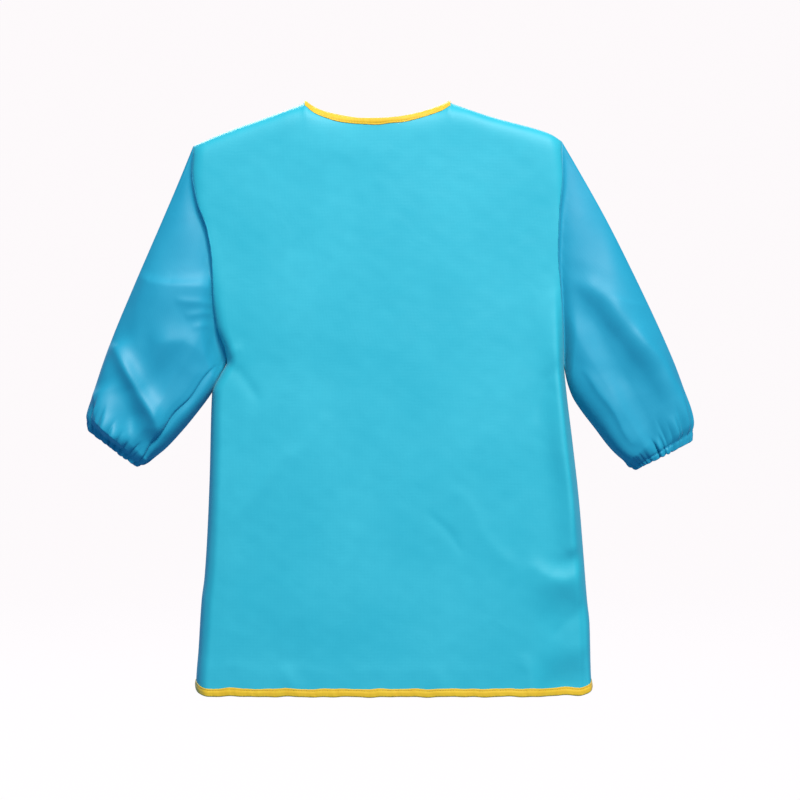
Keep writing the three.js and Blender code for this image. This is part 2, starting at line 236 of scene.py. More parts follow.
def front_folds(x, z):
    """The front: nearly smooth, with folds at its sides and low on the wearer's left."""
    d = waves(x, z, 0.6, 170, 7, 3) + waves(x, z, 0.16, 60, 8, 4) + waves(x, z, 0.05, 22, 9, 5)
    x, z = warp(x, z, 2.5, 70, 50)
    # the streak from the belly to the wearer's left, and the cloth that sinks below it
    d = d + ridge(x, z, [(80, -396), (112, -438), (144, -474)], 0.8, 7, 12, 22)
    d = d + ridge(x, z, [(56, -412), (72, -428), (86, -450)], -0.7, 3, 4, 10)
    d = d + ridge(x, z, [(156, -469), (172, -479), (188, -482), (220, -474)], 3.0, 10, 20, 14)
    sunk = 0.45 * smoothstep(-z, 482, 522) + 0.55 * smoothstep(-z, 544, 588)
    d = d - 11.0 * sunk * smoothstep(x, 150, 190)
    d = d + ridge(x, z, [(176, -534), (192, -522), (210, -504)], -0.7, 6, 8, 8)
    # the long folds beside the two side seams
    side_band = ridge(x, z, [(182, -200), (187, -300), (193, -380), (199, -450)], 9.0, 14, 17, 60)
    d = d + side_band * smoothstep(z, -466, -446) * (1 - 0.7 * smoothstep(z, -320, -160))
    d = d + puff(x, z, (-182, -450), -2.4, 20, 170)
    # the swell over the hem binding, then creases from the belly and the underarms
    d = d + ridge(x, z, [(-190, -568), (-40, -574), (120, -570)], 0.45, 8, 26, 40)
    d = d + ridge(x, z, [(-150, -430), (-100, -372), (-52, -322)], 0.9, 9, 12, 30)
    d = d + ridge(x, z, [(-160, -262), (-138, -272), (-118, -300)], -1.3, 6, 9, 12)
    d = d + ridge(x, z, [(-164, -240), (-150, -250), (-134, -248)], 1.2, 4, 7, 8)
    d = d + ridge(x, z, [(186, -262), (170, -282), (160, -318)], -1.3, 6, 9, 12)
    # waves that run out through the hem
    d = d + ridge(x, z, [(-90, -570), (-78, -600)], 1.2, 9, 9, 14)
    d = d + ridge(x, z, [(60, -575), (66, -600)], 1.0, 8, 8, 12)
    d = d + ridge(x, z, [(148, -560), (160, -600)], 1.3, 8, 8, 12)
    return d


def back_folds(x, z):
    """The back, which the photograph doesn't show: slight folds from the underarms."""
    d = waves(x, z, 0.8, 140, 7, 13) + waves(x, z, 0.2, 55, 8, 14) + waves(x, z, 0.05, 22, 9, 15)
    x, z = warp(x, z, 2.5, 70, 52)
    d = d + ridge(x, z, [(-150, -265), (-100, -330), (-80, -420)], 1.6, 9, 14, 24)
    d = d + ridge(x, z, [(188, -268), (140, -330), (110, -430)], 1.6, 9, 14, 24)
    d = d + ridge(x, z, [(-30, -120), (-90, -190), (-160, -230)], 1.2, 8, 12, 24)
    d = d + ridge(x, z, [(40, -250), (100, -300), (180, -300)], 1.0, 8, 12, 24)
    return d


def sleeve_folds_right(x, z):
    """The wearer's right sleeve, whose folds run down from the armhole to the outside of the cuff."""
    d = waves(x, z, 0.5, 80, 7, 23) + waves(x, z, 0.14, 28, 8, 24)
    x, z = warp(x, z, 1.6, 50, 54)
    d = d + puff(x, z, (-204, -126), 3.8, 34, 26)
    d = d + ridge(x, z, [(-246, -176), (-228, -186), (-204, -189), (-150, -184)], 7.0, 10, 42)
    d = d + ridge(x, z, [(-196, -203), (-176, -200), (-150, -202)], 1.2, 3, 5, 8)
    d = d + ridge(x, z, [(-190, -214), (-172, -210), (-150, -213)], 1.2, 3, 4, 8)
    d = d + ridge(x, z, [(-184, -225), (-170, -223), (-150, -226)], 1.0, 3, 4, 8)
    d = d + ridge(x, z, [(-222, -244), (-196, -241), (-160, -256)], 6.0, 15, 34)
    main = [(-266, -246), (-253, -266), (-239, -288), (-229, -310), (-219, -334)]
    d = d + ridge(x, z, main, 10.5, 12.5, 10.5, 10)
    d = d + ridge(x, z, [(-233, -296), (-221, -324)], 4.0, 20, 8, 14)
    d = d + ridge(x, z, [(-284, -290), (-280, -308), (-270, -346)], 10.0, 20, 5, 8)
    d = d + puff(x, z, (-263, -331), 9.5, 19, 26)
    valley = [(-161, -268), (-179, -290), (-197, -311), (-216, -332), (-234, -354)]
    d = d + ridge(x, z, valley, -6.0, 2.2, 2.4, 8)
    d = d + ridge(x, z, [(-176, -268), (-206, -304), (-228, -336)], 2.0, 10, 6, 8)
    return d


def sleeve_folds_left(x, z):
    """The wearer's left sleeve: a long fold inside its outer edge, and a low one above the inner edge."""
    d = waves(x, z, 0.5, 85, 7, 33) + waves(x, z, 0.14, 28, 8, 34)
    x, z = warp(x, z, 1.6, 50, 56)
    d = d + ridge(x, z, [(200, -60), (222, -100), (248, -150), (272, -200)], 1.2, 10, 30, 50)
    d = d + ridge(x, z, [(238, -202), (254, -206), (272, -206)], 0.8, 3, 8, 8)
    main = [(220, -190), (230, -202), (246, -220), (267, -245), (288, -272), (302, -295), (319, -330)]
    d = d + ridge(x, z, main, 8.5, 17, 17, 36)
    d = d + ridge(x, z, [(262, -238), (286, -268), (303, -294), (317, -322)], 5.0, 15, 14, 16)
    valley = [(206, -198), (222, -217), (246, -247), (270, -279), (292, -315)]
    d = d + ridge(x, z, valley, -4.0, 14, 20, 26)
    d = d + ridge(x, z, [(184, -196), (196, -228), (212, -262)], 3.0, 12, 12, 30)
    d = d + puff(x, z, (200, -122), 2.0, 18, 34)
    d = d + ridge(x, z, [(210, -272), (232, -302), (256, -342)], 3.0, 8, 5, 18)
    return d


# ------------------------------------------------------------
# The body's surface: u from the wearer's right (-1) to the left (1), v from the hem (0) to the top edge (1)
# ------------------------------------------------------------

FRONT, BACK = -1, 1


def body_points(face, u, v):
    """Points on the front or back, with their folds. The last axis of what it gives back is x, y, z."""
    u, v = np.broadcast_arrays(np.asarray(u, float), np.asarray(v, float))
    inside = np.clip(u, -1, 1)
    top = top_line(face, inside)
    z = lerp(hem_line(inside), top, v)
    x = body_middle(z) + u * body_half(z)
    share = np.clip(np.abs(u), 0, 1)
    full = lerp(DEPTH_TOP, DEPTH_HEM, z / HEM_Z) * (1 - DEPTH_CROWN * share**2)
    into = np.clip((share - EDGE_ROUND_FROM) / (1 - EDGE_ROUND_FROM), 0, 1)
    edge = np.where(u < 0, armhole_depth(SIDES["right"], z), armhole_depth(SIDES["left"], z))
    panel = edge + (full - edge) * np.sqrt(1 - into**2.1)
    bowed = NECK_DEPTH * np.cos(np.pi / 2 * np.clip(share / NECK_SHARE, 0, 1)) ** 0.8
    neck = np.where(share < NECK_SHARE, bowed, 0)
    below = np.maximum(0, top - z)
    roll = lerp(1, 0.5, smoothstep(share / NECK_SHARE, 0.9, 1.3))
    depth = neck + (panel - neck) * (1 - np.exp(-below / SHOULDER_ROLL)) ** roll
    calm = (1 - smoothstep(share, 0.955, 1.0)) * smoothstep(below, 4, 40)
    folds = front_folds(x, z) if face < 0 else back_folds(x, z)
    sewn = np.where(edge > 4, 1, 0.3)  # the seam is deep beside the armhole and faint below it
    groove = SEAM_GROOVE * np.exp(-((1 - share) * BODY_HALF / SEAM_GROOVE_WIDTH)) * sewn
    return np.stack([x, face * (depth + folds * calm - groove), z], -1)


def unit(a):
    return a / np.maximum(np.linalg.norm(a, axis=-1, keepdims=True), 1e-12)


def body_surface(face, u, v, lift=0.0):
    """Points on the front or back, raised along their normals by lift."""
    step = 2e-3
    here = body_points(face, u, v)
    across = body_points(face, np.minimum(u + step, 1), v) - body_points(face, np.maximum(u - step, -1), v)
    up = body_points(face, u, np.minimum(v + step, 1)) - body_points(face, u, np.maximum(v - step, 0))
    normal = unit(np.cross(across, up)) * -face
    return here + normal * np.asarray(lift)[..., None]


def column_at(v, x, sign=1):
    """Where a line at distance x from the centre line lies on the body, at height v."""
    z = lerp(HEM_Z, NECK_POINT_Z, v)
    return (HEM_SHIFT * (z / HEM_Z) + sign * x - body_middle(z)) / body_half(z)


def flap_lift(sign, u):
    """The right back panel rises over the left one towards the centre back."""
    return OUTER_FLAP_LIFT * smoothstep(u, -0.34, -0.13) if sign < 0 else np.zeros(np.shape(u))


def back_column(sign, t, v):
    """u of a point on a back panel: t from the free edge at the centre (0) to the side seam (1)."""
    return lerp(column_at(v, -OVERLAP_HALF, sign), sign * 1.0, t)


def back_surface(sign, t, v, lift=0.0):
    u = back_column(sign, t, v)
    return body_surface(BACK, u, v, np.asarray(lift) + flap_lift(sign, u))


# ------------------------------------------------------------
# Sleeves: share runs from the armhole (0) to the cuff (1), angle from the outer edge round the front
# ------------------------------------------------------------


def even_curve(points):
    """A smooth line through points (a centripetal Catmull-Rom spline), read by its share of the length."""
    p = np.array(points, float)
    p = np.vstack([2 * p[0] - p[1], p, 2 * p[-1] - p[-2]])
    found = []
    for a, b, c, d in zip(p, p[1:], p[2:], p[3:]):
        t1 = np.linalg.norm(b - a) ** 0.5
        t2 = t1 + np.linalg.norm(c - b) ** 0.5
        t3 = t2 + np.linalg.norm(d - c) ** 0.5
        for t in np.linspace(t1, t2, 24, endpoint=False):
            e = a + (b - a) * t / t1
            f = b + (c - b) * (t - t1) / (t2 - t1)
            g = c + (d - c) * (t - t2) / (t3 - t2)
            h = e + (f - e) * t / t2
            i = f + (g - f) * (t - t1) / (t3 - t1)
            found.append(h + (i - h) * (t - t1) / (t2 - t1))
    found = np.array(found + [p[-2]])
    length = np.r_[0, np.cumsum(np.linalg.norm(np.diff(found, axis=0), axis=1))]
    length /= length[-1]

    def at(share):
        return np.stack([np.interp(share, length, found[:, k]) for k in range(2)], -1)

    return at


SLEEVE_DEPTH = smooth_through(
    [(0, 17.0), (0.25, 18), (0.55, 20), (0.82, 18.5), (0.93, 15.4), (0.975, 13.6), (1, 12.6)]
)
SLEEVE_LENGTH = 300.0
STITCH_SHARE = 0.972  # the casing is sewn down here
DENT, DENT_LENGTH, DENT_SEAM = 0.75, 32.0, 6.0  # the sleeve lies flatter just outside the armhole seam
MIRRORED_FOLDS = 0.55  # how much of the front's folds shows on a sleeve's back
CUFF_TURN, CUFF_DROP = 2.6, 0.7  # how far the cuff's end rolls in, and how far it bulges out


def pleats(angle, count, seed):
    """Gathers round a cuff: round ridges with sharp valleys between them, unevenly spaced and sized."""
    r = np.random.default_rng(seed)
    phase = count * angle
    for waves_round, drift in ((2, 1.5), (3, 1.1), (5, 1.0), (8, 0.6)):
        phase = phase + drift * np.sin(waves_round * angle + r.uniform(0, 6))
    size = 1.0
    for waves_round, swing in ((3, 0.35), (4, 0.3), (7, 0.3), (11, 0.2)):
        size = size + swing * np.sin(waves_round * angle + r.uniform(0, 6))
    return np.maximum(size, 0.15) * (2 * np.abs(np.sin(phase / 2)) ** 0.8 - 1.2)


def gathers(share, angle, seed):
    """What the elastic draws up: coarse pleats on the sleeve, finer ones on the casing."""
    reach = 0.5 + 0.5 * np.sin(5 * angle + seed) * np.sin(3 * angle + 2 * seed)
    fine = 1.5 * smoothstep(share, 0.9 - 0.05 * reach, 0.965) * pleats(angle, 30, seed)
    grown = smoothstep(share, 0.87 - 0.08 * reach, 0.955)
    coarse = 2.0 * grown * (1 - 0.5 * smoothstep(share, 0.95, 1.0)) * pleats(angle, 13, seed + 1)
    return fine + coarse


def sleeve_points(name, share, angle):
    """Points on a sleeve, with its folds and gathers. The last axis is x, y, z."""
    side = SIDES[name]
    share, angle = np.broadcast_arrays(np.asarray(share, float), np.asarray(angle, float))
    inwards = (1 - np.cos(angle)) / 2
    outer, inner = side["outer_curve"](share), side["inner_curve"](share)
    flat = lerp(outer, inner, inwards[..., None])
    z0 = lerp(side["tip"], side["underarm"], inwards)
    chord = lerp(side["outer"][0][0], side["inner"][0][0], inwards)
    x = flat[..., 0] + (edge_of[name](z0) - chord) * (1 - share) ** 3
    z = flat[..., 1]
    face = -np.sign(np.sin(angle))
    skew = lerp(0.8, 0.5, smoothstep(share, 0.6, 0.8)) if name == "right" else 0.75
    lean = lerp(1.0, skew, smoothstep(share, 0.1, 0.4) * (1 - 0.5 * smoothstep(share, 0.86, 1.0)))
    roundness = lerp(ARMHOLE_ROUNDNESS, 1.0, smoothstep(share, 0, 0.3) * (1 - smoothstep(share, 0.8, 0.95)))
    round_share = np.sin(np.pi * inwards**lean) ** roundness
    inset = np.linalg.norm(outer - inner, axis=-1) * (1 - inwards)
    edge_round = 4 if name == "right" else lerp(8.0, 3.0, smoothstep(share, 0.45, 0.9))
    under = 1 - np.exp(-inset / edge_round) + 0.08 * np.sin(np.pi * inwards)
    turn_under = smoothstep(inwards, 0.5, 0.72) * smoothstep(share, 0.04, 0.2)
    turn_under = turn_under * (1 - smoothstep(share, 0.9, 1))
    round_share = lerp(round_share, under, turn_under)
    depth = SLEEVE_DEPTH(share) * round_share
    out_mm = share * SLEEVE_LENGTH
    sunk = smoothstep(np.sin(np.pi * inwards), 0.0, 0.14)
    depth = depth - DENT * depth * (1 - np.exp(-out_mm / DENT_SEAM)) * np.exp(-out_mm / DENT_LENGTH) * sunk
    point = np.stack([x, face * depth, z], -1)
    shape = sleeve_folds_right if name == "right" else sleeve_folds_left
    mirrored = shape(x, z) * MIRRORED_FOLDS + waves(x, z, 0.8, 80, 6, 41)
    height = np.where(face < 0, shape(x, z), mirrored)
    calm = np.sin(np.pi * inwards) ** 0.55 * smoothstep(share, 0.0, 0.06)
    calm = calm * (1 - smoothstep(share, 0.945, 0.98))
    centre = (outer + inner) / 2
    middle = np.stack([centre[..., 0], np.zeros_like(x), centre[..., 1]], -1)
    out = unit(point - middle)
    out = unit(out * np.array([0.35, 1.0, 0.35]))
    seed = 5 if name == "right" else 8
    # the casing: drawn in where it is sewn down, and a little swollen by the elastic in it
    pinch = -0.8 * np.exp(-(((share - STITCH_SHARE) / 0.007) ** 2))
    swell = 0.1 * np.exp(-(((share - STITCH_SHARE - 0.015) / 0.008) ** 2))
    groove = -0.8 * np.exp(-out_mm / 1.5) * sunk  # the sleeve's side of the armhole seam
    # the fullness of the cloth, eased into the armhole seam
    ease = 0.5 * np.exp(-share * 330 / 9) * np.sin(angle * 46 + 2 * np.sin(angle * 3)) * round_share
    around = unit(point - middle)
    along = unit(side["outer_curve"](0.99) - side["outer_curve"](0.8))
    ripple = 0.6 * smoothstep(share, 0.955, 1.0) * pleats(angle, 24, seed + 2)
    point = point + np.array([along[0], 0, along[1]]) * ripple[..., None]
    gathered = gathers(share, angle, seed) + pinch + swell + groove + ease
    return point + out * (height * calm)[..., None] + around * gathered[..., None]


for side in SIDES.values():
    side["outer_curve"] = even_curve(side["outer"])
    side["inner_curve"] = even_curve(side["inner"])


# ------------------------------------------------------------
# Meshes
# ------------------------------------------------------------


def grid_normals(p, closed):
    across = np.roll(p, -1, 1) - np.roll(p, 1, 1) if closed else np.gradient(p, axis=1)
    return unit(np.cross(across, np.gradient(p, axis=0)))


def new_object(name, vertices, faces, material, uvs=None):
    """A mesh from points in millimetres; uvs has one (u, v) for each vertex, in metres."""
    mesh = bpy.data.meshes.new(name)
    mesh.from_pydata([tuple(p) for p in vertices * MM], [], [tuple(f) for f in faces])
    if uvs is not None:
        layer = mesh.uv_layers.new(name="cloth")
        corner = np.empty(len(mesh.loops), int)
        mesh.loops.foreach_get("vertex_index", corner)
        layer.data.foreach_set("uv", uvs[corner].ravel())
    mesh.shade_smooth()
    mesh.materials.append(material)
    obj = bpy.data.objects.new(name, mesh)
    scene.collection.objects.link(obj)
    return obj


def cloth_sheet(name, p, material, thickness=CLOTH, closed=False, flip=False):
    """A layer of cloth through a grid of points, closed at its rims. flip turns its outside the other way."""
    rows, cols = p.shape[:2]
    step_u = np.linalg.norm(np.diff(p, axis=1), axis=-1)
    step_v = np.linalg.norm(np.diff(p, axis=0), axis=-1)
    u = np.concatenate([np.zeros((rows, 1)), np.cumsum(step_u, axis=1)], axis=1)
    v = np.concatenate([np.zeros((1, cols)), np.cumsum(step_v, axis=0)], axis=0)
    u = u - u.mean(axis=1, keepdims=True)
    if closed:
        p = np.concatenate([p, p[:, :1]], axis=1)
        u = np.concatenate([u, u[:, -1:] + np.linalg.norm(p[:, -1] - p[:, -2], axis=-1)[:, None]], axis=1)
        v = np.concatenate([v, v[:, :1]], axis=1)
        normal = grid_normals(p[:, :-1], True)
        normal = np.concatenate([normal, normal[:, :1]], axis=1)
        cols += 1
    else:
        normal = grid_normals(p, False)
    if flip:
        normal = -normal
    layers = [p + normal * thickness / 2, p - normal * thickness / 2]
    vertices = np.concatenate([layer.reshape(-1, 3) for layer in layers])
    uvs = np.tile(np.stack([u, v], -1).reshape(-1, 2) * MM, (2, 1))
    i, j = np.meshgrid(np.arange(rows - 1), np.arange(cols - 1), indexing="ij")
    a = (i * cols + j).ravel()
    quads = np.stack([a, a + 1, a + cols + 1, a + cols], -1)
    back = rows * cols
    outer, inner = (quads[:, ::-1], quads + back) if flip else (quads, quads[:, ::-1] + back)
    loops = [np.arange(cols), (rows - 1) * cols + np.arange(cols)[::-1]]
    if not closed:
        loops += [np.arange(rows)[::-1] * cols, np.arange(rows) * cols + cols - 1]
    rims = []
    for loop in loops:
        if flip:
            loop = loop[::-1]
        rims.append(np.stack([loop[1:], loop[:-1], loop[:-1] + back, loop[1:] + back], -1))
    obj = new_object(name, vertices, np.concatenate([outer, inner, *rims]), material, uvs)
    if closed:
        weld(obj)
    return obj


def weld(obj):
    b = bmesh.new()
    b.from_mesh(obj.data)
    bmesh.ops.remove_doubles(b, verts=b.verts, dist=1e-7)
    b.to_mesh(obj.data)
    b.free()


def stitches(name, points, normals, material, pitch=2.6, length=1.9, thick=0.42):
    """A row of machine stitches along a line of points."""
    step = np.linalg.norm(np.diff(points, axis=0), axis=1)
    at = np.r_[0, np.cumsum(step)]
    count = max(2, int(at[-1] / pitch))
    middles = (np.arange(count) + 0.5) * at[-1] / count

    def read(array, s):
        return np.stack([np.interp(s, at, array[:, k]) for k in range(3)], -1)

    centre, normal = read(points, middles), unit(read(normals, middles))
    along = unit(read(points, middles + 0.4) - read(points, middles - 0.4))
    side = unit(np.cross(normal, along))
    sides = 6
    # each section of one stitch: (share of its length, share of its thickness, height over the cloth)
    half = [(-0.5, 0.35, -0.25), (-0.28, 0.95, 0.05)]
    sections = half + [(0, 1.0, 0.14)] + [(-shift, radius, lift) for shift, radius, lift in half[::-1]]
    vertices = []
    for shift, radius, lift in sections:
        middle = centre + along * (shift * length) + normal * (lift * thick)
        for a in np.linspace(0, 2 * np.pi, sides, endpoint=False):
            vertices.append(middle + (side * np.cos(a) + normal * np.sin(a)) * (radius * thick / 2))
    vertices = np.stack(vertices, 1)
    per = len(sections) * sides
    one = [
        (s * sides + k, s * sides + (k + 1) % sides, (s + 1) * sides + (k + 1) % sides, (s + 1) * sides + k)
        for s in range(len(sections) - 1)
        for k in range(sides)
    ]
    faces = (np.arange(count)[:, None, None] * per + np.array(one)[None]).reshape(-1, 4)
    return new_object(name, vertices.reshape(-1, 3), faces, material)


# ------------------------------------------------------------
# Materials
# ------------------------------------------------------------


def linear(r, g, b):
    return tuple(((c / 255 + 0.055) / 1.055) ** 2.4 if c > 10 else c / 3294.6 for c in (r, g, b)) + (1.0,)


class Nodes:
    """A material's node tree, with short calls for what every material here uses."""

    def __init__(self, name):
        self.material = bpy.data.materials.new(name)
        self.material.use_nodes = True
        self.tree = self.material.node_tree
        self.shader = self.tree.nodes["Principled BSDF"]

    def add(self, kind, **values):
        node = self.tree.nodes.new(kind)
        for key, value in values.items():
            if hasattr(node, key):
                setattr(node, key, value)
            else:
                node.inputs[key.replace("_", " ")].default_value = value
        return node

    def link(self, source, target):
        self.tree.links.new(source, target)

    def texture(self, kind, **values):
        """A texture placed by the object's own coordinates."""
        node = self.add(f"ShaderNodeTex{kind}", **values)
        place = self.add("ShaderNodeTexCoord")
        self.link(place.outputs["Object"], node.inputs["Vector"])
        return node

    def set(self, **values):
        """Sets the shader's plain values by name."""
        for key, value in values.items():
            self.shader.inputs[key.replace("_", " ")].default_value = value

    def surface(self, colour, normal=None, **values):
        """Ends the tree with its colour, its normal if it has one, and its plain values."""
        self.link(colour, self.shader.inputs["Base Color"])
        if normal is not None:
            self.link(normal, self.shader.inputs["Normal"])
        self.set(**values)
        return self.material

    def mix(self, factor, a, b):
        node = self.add("ShaderNodeMix", data_type="RGBA")
        self.link(factor, node.inputs[0])
        for socket, value in ((node.inputs[6], a), (node.inputs[7], b)):
            if isinstance(value, tuple):
                socket.default_value = value
            else:
                self.link(value, socket)
        return node.outputs[2]

    def bump(self, height, strength, distance, normal=None):
        node = self.add("ShaderNodeBump")
        node.inputs["Strength"].default_value = strength
        node.inputs["Distance"].default_value = distance
        self.link(height, node.inputs["Height"])
        if normal is not None:
            self.link(normal, node.inputs["Normal"])
        return node.outputs["Normal"]

    def ramp(self, value, low, high, to_low=0.0, to_high=1.0):
        node = self.add("ShaderNodeMapRange")
        node.inputs["From Min"].default_value = low
        node.inputs["From Max"].default_value = high
        node.inputs["To Min"].default_value = to_low
        node.inputs["To Max"].default_value = to_high
        self.link(value, node.inputs["Value"])
        return node.outputs["Result"]

    def weave(self, pitch):
        """Threads that cross, from the cloth's own coordinates."""
        uv = self.add("ShaderNodeUVMap", uv_map="cloth").outputs["UV"]
        found = []
        scale = 1 / (pitch * MM) / 3.1416 / 2 * 0.314  # the texture has about twenty bands in a unit
        for direction in ("X", "Y"):
            wave = self.add(
                "ShaderNodeTexWave", wave_type="BANDS", bands_direction=direction, wave_profile="SIN",
                Scale=scale, Distortion=0.6, Detail=0.0,
            )
            self.link(uv, wave.inputs["Vector"])
            found.append(wave.outputs["Fac"])
        both = self.add("ShaderNodeMath", operation="ADD")
        self.link(found[0], both.inputs[0])
        self.link(found[1], both.inputs[1])
        return both.outputs[0]


def coated_cloth(name, shade):
    """Taffeta with a thin coating. shade multiplies its colour channel by channel, which paints shade on a
    copy of the cloth.
    """
    n = Nodes(name)

    # the colours here carry the painted shade given by shade
    def shaded(*rgb):
        return tuple(c * k for c, k in zip(linear(*rgb), shade)) + (1.0,)

    clouds = n.texture("Noise", Scale=9.0, Detail=3.0, Roughness=0.55).outputs["Fac"]
    fine = n.texture("Noise", Scale=60.0, Detail=4.0, Roughness=0.6).outputs["Fac"]
    creases = n.texture("Noise", Scale=26.0, Detail=5.0, Roughness=0.5, Distortion=1.2).outputs["Fac"]
    colour = n.mix(n.ramp(clouds, 0.35, 0.65), shaded(47, 185, 196), shaded(55, 191, 201))
    colour = n.mix(n.ramp(fine, 0.3, 0.7, 0.0, 0.35), colour, shaded(41, 178, 190))
    n.link(n.ramp(clouds, 0.3, 0.7, 0.5, 0.6), n.shader.inputs["Roughness"])
    normal = n.bump(n.weave(0.55), 0.2, 0.00005, n.bump(creases, 0.14, 0.0016))
    return n.surface(colour, normal, Specular_IOR_Level=0.46, Sheen_Weight=0.12, Sheen_Roughness=0.4)


def binding_tape():
    n = Nodes("binding_tape")
    noise = n.texture("Noise", Scale=90.0, Detail=4.0, Roughness=0.6).outputs["Fac"]
    colour = n.mix(n.ramp(noise, 0.3, 0.7), linear(246, 187, 14), linear(250, 198, 26))
    normal = n.bump(n.weave(0.5), 0.5, 0.0001, n.bump(noise, 0.2, 0.0006))
    return n.surface(colour, normal, Roughness=0.62, Sheen_Weight=0.25, Sheen_Roughness=0.5)


def thread(name, rgb):
    n = Nodes(name)
    twist = n.texture("Noise", Scale=1400.0, Detail=1.0).outputs["Fac"]
    dark = tuple(c * 0.72 for c in rgb[:3]) + (1.0,)
    return n.surface(n.mix(twist, dark, rgb), Roughness=0.55, Sheen_Weight=0.3)


def patch_pile(name, scale):
    n = Nodes(name)
    pile = n.texture("Voronoi", Scale=scale).outputs["Distance"]
    colour = n.mix(n.ramp(pile, 0.1, 0.8), linear(34, 150, 190), linear(70, 190, 220))
    return n.surface(colour, n.bump(pile, 0.9, 0.0006), Roughness=0.85, Sheen_Weight=0.6)


def elastic_band():
    n = Nodes("elastic_band")
    ribs = n.texture("Noise", Scale=300.0, Detail=3.0).outputs["Fac"]
    colour = n.mix(ribs, linear(214, 214, 208), linear(246, 246, 242))
    return n.surface(colour, n.bump(ribs, 0.6, 0.0004), Roughness=0.8)


def label_tape():
    n = Nodes("label_tape")
    satin = n.texture("Wave", wave_type="BANDS", bands_direction="Z", Scale=420.0, Distortion=0.4)
    satin = satin.outputs["Fac"]
    colour = n.mix(satin, linear(232, 232, 228), linear(250, 250, 248))
    return n.surface(colour, n.bump(satin, 0.3, 0.0001), Roughness=0.4)


CLOTH_MATERIAL = coated_cloth("coated_cloth", (1.0, 1.0, 1.0))
# painted shade: the sleeves are the body's own cloth, darkened and tinted bluer to stand in for the shade
# that falls on them
SLEEVE_MATERIAL = coated_cloth("coated_sleeve_cloth_painted_shade", (0.56, 0.72, 0.86))
BINDING_MATERIAL = binding_tape()
BLUE_THREAD = thread("blue_thread", linear(40, 170, 210))
YELLOW_THREAD = thread("yellow_thread", linear(224, 172, 40))
LOOP_MATERIAL = patch_pile("loop_pile", 1500.0)
HOOK_MATERIAL = patch_pile("hook_pile", 900.0)
ELASTIC_MATERIAL = elastic_band()
LABEL_MATERIAL = label_tape()

# ------------------------------------------------------------
# Panels
# ------------------------------------------------------------


def dense_rows(count):
    """v of the rows, closer together at the hem and at the top edge."""
    v = np.linspace(0, 1, count)
    return lerp(v, (1 - np.cos(np.pi * v)) / 2, 0.6)


def dense_columns(count):
    u = np.linspace(-1, 1, count)
    return lerp(u, np.sin(u * np.pi / 2), 0.75)


v = dense_rows(230)
u = dense_columns(190)
front = cloth_sheet("front_panel_cloth", body_surface(FRONT, u[None, :], v[:, None]), CLOTH_MATERIAL)
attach(front, "torso")
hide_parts("front_panel")

backs, sleeves = {}, {}


def across_fold(sign):
    """Two points on either side of a back panel's fold line."""
    top = Vector((sign * FOLD_TOP, FOLD_TOP_Y, 0)) * MM
    hem = Vector((sign * FOLD_HEM + HEM_SHIFT, FOLD_HEM_Y, HEM_Z)) * MM
    line = (hem - top).normalized()
    inboard = Vector((-sign, 0, 0))
    inboard = (inboard - line * inboard.dot(line)).normalized()
    middle = (top + hem) / 2
    half = inboard * (FOLD_BEND_HALF * MM)
    return middle - half, middle + half


for name, side in SIDES.items():
    sign = side["sign"]
    even = np.linspace(0, 1, 120)
    t = 1 - np.cos(even * np.pi / 2)
    t = lerp(even, 1 - t[::-1], 0.6)
    p = back_surface(sign, t[None, :], v[:, None])
    panel = cloth_sheet(f"back_panel_{name}_cloth", p, CLOTH_MATERIAL, flip=sign > 0)
    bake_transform(panel)
    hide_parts(f"back_panel_{name}", f"back_flap_{name}")
    backs[name] = panel

# ------------------------------------------------------------
# Sleeves
# ------------------------------------------------------------


for name, side in SIDES.items():
    angle = np.linspace(0, 2 * np.pi, 300, endpoint=False)
    share = np.r_[np.linspace(0, 0.86, 120), np.linspace(0.86, 1, 64)[1:]]
    p = sleeve_points(name, share[:, None], angle[None, :])
    middle = p.mean(axis=1, keepdims=True)
    inwards = unit(middle - p)
    turned = []  # the cuff's end rolls in, then runs back up inside the sleeve
    for turn in np.linspace(0, 1, 9)[1:]:
        drop = np.sin(turn * np.pi) * CUFF_DROP
        rolled = inwards[-1] * CUFF_TURN * (1 - np.cos(turn * np.pi)) / 2
        turned.append(p[-1] + rolled + unit(p[-1] - p[-4]) * drop)
    rise = p[-1] - p[-14]
    for up in (0.25, 0.5, 0.75, 1.0):
        turned.append(turned[7] - rise * up * 0.62)
    p = np.concatenate([p, np.array(turned)], axis=0)
    sleeve = cloth_sheet(f"sleeve_{name}_cloth", p, SLEEVE_MATERIAL, closed=True, flip=side["sign"] < 0)
    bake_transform(sleeve)
    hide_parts(f"sleeve_{name}", f"sleeve_cap_{name}", f"cuff_casing_{name}")
    sleeves[name] = sleeve

# ------------------------------------------------------------
# Bindings: a folded tape round the edge of the cloth. Its section is (inset from the edge, lift)
# ------------------------------------------------------------

HEM_LEG, NECK_LEG, EDGE_LEG = 7.2, 5.6, 7.2
PANEL_HEIGHT = 590.0
PANEL_WIDTH_HEM, PANEL_WIDTH_TOP = 218.0, 200.0
BELOW_NECK = 6.4  # the free edge's tape stops here, under the neck's
TAPE_END = 0.9995  # a tape ends this share of the way, just inside the side seam
NECK_TAPE_END = 0.985  # and the back neck's tape just inside the neck point


def tape_section(leg):
    """Half round the edge and down both faces; the stitch line pulls it in near each free edge."""
    outer = [(leg, 0.36), (leg - 0.25, 0.62), (leg - 0.9, 0.66), (leg - 1.5, 0.52), (leg - 2.2, 0.74)]
    fold = [(0.5 * leg, 1.0), (0.3 * leg, 1.04), (0.15 * leg, 1.0), (0.2, 0.92), (-0.55, 0.66), (-0.85, 0.0)]
    inner = [(a + 0.3, -b) for a, b in outer]
    return outer + fold + [(a, -b) for a, b in fold[-2::-1]] + inner[::-1]


